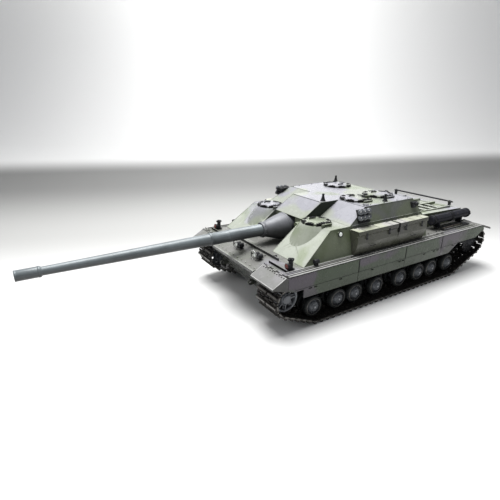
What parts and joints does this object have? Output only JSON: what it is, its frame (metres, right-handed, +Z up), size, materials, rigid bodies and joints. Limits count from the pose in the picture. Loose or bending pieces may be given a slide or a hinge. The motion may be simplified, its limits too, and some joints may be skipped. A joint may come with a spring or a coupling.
{
  "type": "radio-controlled tank",
  "caption": "Radio-controlled scale model of a casemate tank destroyer with a long gun, sprung-bogie running gear, side skirts, hinged hatches and stowage bins.",
  "frame": {"origin": "bottom centre of the bounding box, on the ground under the tracks", "axes": "+Z up, the gun points along -Y and the engine deck is towards +Y, +X is the left side of the vehicle"},
  "size_m": [0.249, 0.771, 0.1629],
  "materials": {
    "armour_paint": "matt camouflage paint over moulded plastic",
    "gun_paint": "matt grey-blue paint",
    "dark_metal": "dark satin paint",
    "running_gear": "matt dark blue-grey paint",
    "track_links": "matt black plastic links",
    "lamp_housing": "painted lamp housings",
    "battery_wrap": "shrink-wrapped cells",
    "circuit_board": "green board with black chips",
    "motor_metal": "plain metal motor and gearbox cases"
  },
  "bodies": {
    "hull": {"lower_hull": "armour_paint", "casemate": "armour_paint", "engine_deck": "armour_paint", "fenders": "armour_paint", "skirts": "armour_paint", "suspension_brackets": "running_gear", "return_rollers": "running_gear", "stowage_bins": "armour_paint", "exhausts": "dark_metal", "smoke_dischargers": "dark_metal", "headlamps": "lamp_housing", "roof_fittings": "dark_metal", "deck_tools": "dark_metal", "drive_units": "motor_metal", "battery": "battery_wrap", "control_board": "circuit_board", "screws": "dark_metal", "left_track": "track_links", "right_track": "track_links"},
    "left_idler": {"left_idler": "running_gear"},
    "left_sprocket": {"left_sprocket": "running_gear"},
    "left_bogie_1": {"left_bogie_1": "running_gear"},
    "left_wheel_1": {"left_wheel_1": "running_gear"},
    "left_wheel_2": {"left_wheel_2": "running_gear"},
    "left_bogie_2": {"left_bogie_2": "running_gear"},
    "left_wheel_3": {"left_wheel_3": "running_gear"},
    "left_wheel_4": {"left_wheel_4": "running_gear"},
    "left_bogie_3": {"left_bogie_3": "running_gear"},
    "left_wheel_5": {"left_wheel_5": "running_gear"},
    "left_wheel_6": {"left_wheel_6": "running_gear"},
    "left_bogie_4": {"left_bogie_4": "running_gear"},
    "left_wheel_7": {"left_wheel_7": "running_gear"},
    "left_wheel_8": {"left_wheel_8": "running_gear"},
    "left_mudguard": {"left_mudguard": "armour_paint"},
    "right_idler": {"right_idler": "running_gear"},
    "right_sprocket": {"right_sprocket": "running_gear"},
    "right_bogie_1": {"right_bogie_1": "running_gear"},
    "right_wheel_1": {"right_wheel_1": "running_gear"},
    "right_wheel_2": {"right_wheel_2": "running_gear"},
    "right_bogie_2": {"right_bogie_2": "running_gear"},
    "right_wheel_3": {"right_wheel_3": "running_gear"},
    "right_wheel_4": {"right_wheel_4": "running_gear"},
    "right_bogie_3": {"right_bogie_3": "running_gear"},
    "right_wheel_5": {"right_wheel_5": "running_gear"},
    "right_wheel_6": {"right_wheel_6": "running_gear"},
    "right_bogie_4": {"right_bogie_4": "running_gear"},
    "right_wheel_7": {"right_wheel_7": "running_gear"},
    "right_wheel_8": {"right_wheel_8": "running_gear"},
    "right_mudguard": {"right_mudguard": "armour_paint"},
    "gun_cradle": {"gun_cradle": "dark_metal"},
    "gun_mantlet": {"gun_mantlet": "gun_paint"},
    "gun_barrel": {"gun_barrel": "gun_paint"},
    "hatch_left": {"hatch_left": "armour_paint"},
    "hatch_right": {"hatch_right": "armour_paint"},
    "roof_hatch_right": {"roof_hatch_right": "armour_paint"},
    "roof_hatch_front": {"roof_hatch_front": "armour_paint"},
    "roof_hatch_rear": {"roof_hatch_rear": "armour_paint"},
    "battery_door": {"battery_door": "armour_paint"}
  },
  "joints": [
    {"name": "left_idler_spin", "type": "hinge", "parent": "hull", "child": "left_idler", "pos_m": [0.0978, -0.0817, 0.048], "axis": [1, 0, 0], "continuous": true},
    {"name": "left_sprocket_spin", "type": "hinge", "parent": "hull", "child": "left_sprocket", "pos_m": [0.0978, 0.3493, 0.055], "axis": [1, 0, 0], "continuous": true},
    {"name": "left_bogie_1_rock", "type": "hinge", "parent": "hull", "child": "left_bogie_1", "pos_m": [0.077, -0.0078, 0.0264], "axis": [1, 0, 0], "range_deg": [-1.4, 1.4]},
    {"name": "left_wheel_1_spin", "type": "hinge", "parent": "left_bogie_1", "child": "left_wheel_1", "pos_m": [0.0978, -0.03155, 0.0224], "axis": [1, 0, 0], "continuous": true},
    {"name": "left_wheel_2_spin", "type": "hinge", "parent": "left_bogie_1", "child": "left_wheel_2", "pos_m": [0.0978, 0.01595, 0.0224], "axis": [1, 0, 0], "continuous": true},
    {"name": "left_bogie_2_rock", "type": "hinge", "parent": "hull", "child": "left_bogie_2", "pos_m": [0.077, 0.0752, 0.0264], "axis": [1, 0, 0], "range_deg": [-1.4, 1.4]},
    {"name": "left_wheel_3_spin", "type": "hinge", "parent": "left_bogie_2", "child": "left_wheel_3", "pos_m": [0.0978, 0.05145, 0.0224], "axis": [1, 0, 0], "continuous": true},
    {"name": "left_wheel_4_spin", "type": "hinge", "parent": "left_bogie_2", "child": "left_wheel_4", "pos_m": [0.0978, 0.09895, 0.0224], "axis": [1, 0, 0], "continuous": true},
    {"name": "left_bogie_3_rock", "type": "hinge", "parent": "hull", "child": "left_bogie_3", "pos_m": [0.077, 0.1801, 0.0264], "axis": [1, 0, 0], "range_deg": [-1.4, 1.4]},
    {"name": "left_wheel_5_spin", "type": "hinge", "parent": "left_bogie_3", "child": "left_wheel_5", "pos_m": [0.0978, 0.15635, 0.0224], "axis": [1, 0, 0], "continuous": true},
    {"name": "left_wheel_6_spin", "type": "hinge", "parent": "left_bogie_3", "child": "left_wheel_6", "pos_m": [0.0978, 0.20385, 0.0224], "axis": [1, 0, 0], "continuous": true},
    {"name": "left_bogie_4_rock", "type": "hinge", "parent": "hull", "child": "left_bogie_4", "pos_m": [0.077, 0.263, 0.0264], "axis": [1, 0, 0], "range_deg": [-1.4, 1.4]},
    {"name": "left_wheel_7_spin", "type": "hinge", "parent": "left_bogie_4", "child": "left_wheel_7", "pos_m": [0.0978, 0.23925, 0.0224], "axis": [1, 0, 0], "continuous": true},
    {"name": "left_wheel_8_spin", "type": "hinge", "parent": "left_bogie_4", "child": "left_wheel_8", "pos_m": [0.0978, 0.28675, 0.0224], "axis": [1, 0, 0], "continuous": true},
    {"name": "left_mudguard_fold", "type": "hinge", "parent": "hull", "child": "left_mudguard", "pos_m": [0.097, -0.0908, 0.0886], "axis": [-1, 0, 0], "range_deg": [0, 85]},
    {"name": "right_idler_spin", "type": "hinge", "parent": "hull", "child": "right_idler", "pos_m": [-0.0978, -0.0817, 0.048], "axis": [1, 0, 0], "continuous": true},
    {"name": "right_sprocket_spin", "type": "hinge", "parent": "hull", "child": "right_sprocket", "pos_m": [-0.0978, 0.3493, 0.055], "axis": [1, 0, 0], "continuous": true},
    {"name": "right_bogie_1_rock", "type": "hinge", "parent": "hull", "child": "right_bogie_1", "pos_m": [-0.077, -0.0078, 0.0264], "axis": [1, 0, 0], "range_deg": [-1.4, 1.4]},
    {"name": "right_wheel_1_spin", "type": "hinge", "parent": "right_bogie_1", "child": "right_wheel_1", "pos_m": [-0.0978, -0.03155, 0.0224], "axis": [1, 0, 0], "continuous": true},
    {"name": "right_wheel_2_spin", "type": "hinge", "parent": "right_bogie_1", "child": "right_wheel_2", "pos_m": [-0.0978, 0.01595, 0.0224], "axis": [1, 0, 0], "continuous": true},
    {"name": "right_bogie_2_rock", "type": "hinge", "parent": "hull", "child": "right_bogie_2", "pos_m": [-0.077, 0.0752, 0.0264], "axis": [1, 0, 0], "range_deg": [-1.4, 1.4]},
    {"name": "right_wheel_3_spin", "type": "hinge", "parent": "right_bogie_2", "child": "right_wheel_3", "pos_m": [-0.0978, 0.05145, 0.0224], "axis": [1, 0, 0], "continuous": true},
    {"name": "right_wheel_4_spin", "type": "hinge", "parent": "right_bogie_2", "child": "right_wheel_4", "pos_m": [-0.0978, 0.09895, 0.0224], "axis": [1, 0, 0], "continuous": true},
    {"name": "right_bogie_3_rock", "type": "hinge", "parent": "hull", "child": "right_bogie_3", "pos_m": [-0.077, 0.1801, 0.0264], "axis": [1, 0, 0], "range_deg": [-1.4, 1.4]},
    {"name": "right_wheel_5_spin", "type": "hinge", "parent": "right_bogie_3", "child": "right_wheel_5", "pos_m": [-0.0978, 0.15635, 0.0224], "axis": [1, 0, 0], "continuous": true},
    {"name": "right_wheel_6_spin", "type": "hinge", "parent": "right_bogie_3", "child": "right_wheel_6", "pos_m": [-0.0978, 0.20385, 0.0224], "axis": [1, 0, 0], "continuous": true},
    {"name": "right_bogie_4_rock", "type": "hinge", "parent": "hull", "child": "right_bogie_4", "pos_m": [-0.077, 0.263, 0.0264], "axis": [1, 0, 0], "range_deg": [-1.4, 1.4]},
    {"name": "right_wheel_7_spin", "type": "hinge", "parent": "right_bogie_4", "child": "right_wheel_7", "pos_m": [-0.0978, 0.23925, 0.0224], "axis": [1, 0, 0], "continuous": true},
    {"name": "right_wheel_8_spin", "type": "hinge", "parent": "right_bogie_4", "child": "right_wheel_8", "pos_m": [-0.0978, 0.28675, 0.0224], "axis": [1, 0, 0], "continuous": true},
    {"name": "right_mudguard_fold", "type": "hinge", "parent": "hull", "child": "right_mudguard", "pos_m": [-0.097, -0.0908, 0.0886], "axis": [-1, 0, 0], "range_deg": [0, 85]},
    {"name": "gun_traverse", "type": "hinge", "parent": "hull", "child": "gun_cradle", "pos_m": [0, 0.03, 0.0844], "axis": [0, 0, 1], "range_deg": [-4, 4]},
    {"name": "gun_elevation", "type": "hinge", "parent": "gun_cradle", "child": "gun_mantlet", "pos_m": [0, 0.03, 0.1115], "axis": [1, 0, 0], "range_deg": [-6, 2]},
    {"name": "gun_recoil", "type": "slide", "parent": "gun_mantlet", "child": "gun_barrel", "axis": [0, 1, 0], "range_m": [0, 0.012]},
    {"name": "hatch_left_lid", "type": "hinge", "parent": "hull", "child": "hatch_left", "pos_m": [0.0841, 0.0063, 0.1327], "axis": [0, 1, 0], "range_deg": [0, 105]},
    {"name": "hatch_right_lid", "type": "hinge", "parent": "hull", "child": "hatch_right", "pos_m": [-0.0379, 0.0063, 0.1327], "axis": [0, 1, 0], "range_deg": [0, 85]},
    {"name": "roof_hatch_right_lid", "type": "hinge", "parent": "hull", "child": "roof_hatch_right", "pos_m": [-0.0771, 0.152, 0.1538], "axis": [0, -1, 0], "range_deg": [0, 105]},
    {"name": "roof_hatch_front_lid", "type": "hinge", "parent": "hull", "child": "roof_hatch_front", "pos_m": [0.0741, 0.0985, 0.1538], "axis": [0, 1, 0], "range_deg": [0, 105]},
    {"name": "roof_hatch_rear_lid", "type": "hinge", "parent": "hull", "child": "roof_hatch_rear", "pos_m": [0.0721, 0.152, 0.1538], "axis": [0, 1, 0], "range_deg": [0, 105]},
    {"name": "battery_door_lid", "type": "hinge", "parent": "hull", "child": "battery_door", "pos_m": [-0.032, 0.12, 0.0218], "axis": [0, 1, 0], "range_deg": [0, 80]}
  ],
  "couplings": [
    {"joint": "left_idler_spin", "follows": "left_sprocket_spin", "ratio": 1.1282},
    {"joint": "left_wheel_1_spin", "follows": "left_sprocket_spin", "ratio": 1.4193},
    {"joint": "left_wheel_2_spin", "follows": "left_sprocket_spin", "ratio": 1.4193},
    {"joint": "left_wheel_3_spin", "follows": "left_sprocket_spin", "ratio": 1.4193},
    {"joint": "left_wheel_4_spin", "follows": "left_sprocket_spin", "ratio": 1.4193},
    {"joint": "left_wheel_5_spin", "follows": "left_sprocket_spin", "ratio": 1.4193},
    {"joint": "left_wheel_6_spin", "follows": "left_sprocket_spin", "ratio": 1.4193},
    {"joint": "left_wheel_7_spin", "follows": "left_sprocket_spin", "ratio": 1.4193},
    {"joint": "left_wheel_8_spin", "follows": "left_sprocket_spin", "ratio": 1.4193},
    {"joint": "right_idler_spin", "follows": "right_sprocket_spin", "ratio": 1.1282},
    {"joint": "right_wheel_1_spin", "follows": "right_sprocket_spin", "ratio": 1.4193},
    {"joint": "right_wheel_2_spin", "follows": "right_sprocket_spin", "ratio": 1.4193},
    {"joint": "right_wheel_3_spin", "follows": "right_sprocket_spin", "ratio": 1.4193},
    {"joint": "right_wheel_4_spin", "follows": "right_sprocket_spin", "ratio": 1.4193},
    {"joint": "right_wheel_5_spin", "follows": "right_sprocket_spin", "ratio": 1.4193},
    {"joint": "right_wheel_6_spin", "follows": "right_sprocket_spin", "ratio": 1.4193},
    {"joint": "right_wheel_7_spin", "follows": "right_sprocket_spin", "ratio": 1.4193},
    {"joint": "right_wheel_8_spin", "follows": "right_sprocket_spin", "ratio": 1.4193}
  ]
}
